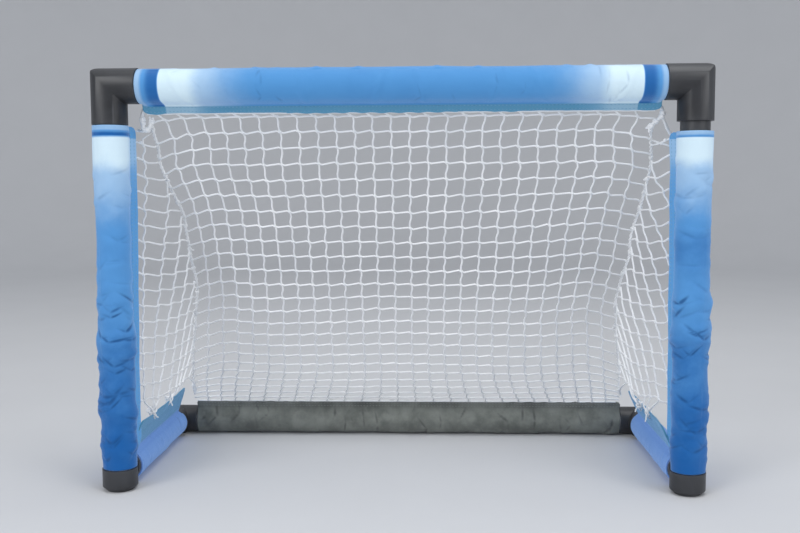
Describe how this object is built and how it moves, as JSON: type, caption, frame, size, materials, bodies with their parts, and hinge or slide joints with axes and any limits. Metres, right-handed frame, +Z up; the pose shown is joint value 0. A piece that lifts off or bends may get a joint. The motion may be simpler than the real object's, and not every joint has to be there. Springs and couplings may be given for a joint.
{
  "type": "hockey goal",
  "caption": "Small tabletop-height hockey goal: plastic tube frame with lit cloth sleeves, corner lamp housings, a slanted back net and two side nets.",
  "frame": {"origin": "centre of the goal's footprint, on the floor", "axes": "+X along the crossbar, to the right as seen from the front; +Y from the mouth to the back; +Z up"},
  "size_m": [0.711, 0.3035, 0.495],
  "materials": {
    "frame_tube": "translucent white plastic tube",
    "black_fitting": "black moulded plastic, satin",
    "screw_steel": "plated steel screw",
    "cell_wrap": "plain battery wrapper",
    "contact_steel": "nickel-plated spring strip",
    "green_board": "green circuit board",
    "switch_black": "touch switch case",
    "button_rubber": "soft dark button",
    "lamp_clear": "small white lamp",
    "lead_vinyl": "vinyl two-core lead",
    "blue_cloth": "thin light-blue woven cloth, glowing where the lamps are",
    "grey_cloth": "plain grey woven cloth, unlit",
    "net_twine": "white braided twine"
  },
  "bodies": {
    "goal": {"back_net": "net_twine", "crossbar_sleeve": "blue_cloth", "crossbar_tube": "frame_tube", "left_base_knots": "net_twine", "left_base_sleeve": "blue_cloth", "left_base_tube": "frame_tube", "left_battery_cells": "cell_wrap", "left_battery_contacts": "contact_steel", "left_circuit_board": "green_board", "left_corner_tie": "net_twine", "left_front_foot": "black_fitting", "left_front_shell": "black_fitting", "left_lamp_boards": "green_board", "left_lamp_leads": "lead_vinyl", "left_lamps": "lamp_clear", "left_post_sleeve": "blue_cloth", "left_post_tube": "frame_tube", "left_rear_elbow": "black_fitting", "left_rear_shell": "black_fitting", "left_seam_lacing": "net_twine", "left_side_net": "net_twine", "left_touch_switch": "switch_black", "rear_base_sleeve": "grey_cloth", "rear_base_tube": "frame_tube", "right_base_knots": "net_twine", "right_base_sleeve": "blue_cloth", "right_base_tube": "frame_tube", "right_battery_cells": "cell_wrap", "right_battery_contacts": "contact_steel", "right_circuit_board": "green_board", "right_corner_tie": "net_twine", "right_front_foot": "black_fitting", "right_front_shell": "black_fitting", "right_lamp_boards": "green_board", "right_lamp_leads": "lead_vinyl", "right_lamps": "lamp_clear", "right_post_sleeve": "blue_cloth", "right_post_tube": "frame_tube", "right_rear_elbow": "black_fitting", "right_rear_shell": "black_fitting", "right_seam_lacing": "net_twine", "right_side_net": "net_twine", "right_touch_switch": "switch_black"},
    "left_power_button": {"left_power_button": "button_rubber"},
    "left_battery_door": {"left_battery_door": "black_fitting", "left_door_screw": "screw_steel"},
    "right_power_button": {"right_power_button": "button_rubber"},
    "right_battery_door": {"right_battery_door": "black_fitting", "right_door_screw": "screw_steel"}
  },
  "joints": [
    {"name": "left_button_press", "type": "slide", "parent": "goal", "child": "left_power_button", "axis": [0, -1, 0], "range_m": [0, 0.0008], "stiffness_N_per_m": 800},
    {"name": "left_door_lift_off", "type": "slide", "parent": "goal", "child": "left_battery_door", "axis": [0, 1, 0], "range_m": [0, 0.035]},
    {"name": "right_button_press", "type": "slide", "parent": "goal", "child": "right_power_button", "axis": [0, -1, 0], "range_m": [0, 0.0008], "stiffness_N_per_m": 800},
    {"name": "right_door_lift_off", "type": "slide", "parent": "goal", "child": "right_battery_door", "axis": [0, 1, 0], "range_m": [0, 0.035]}
  ]
}
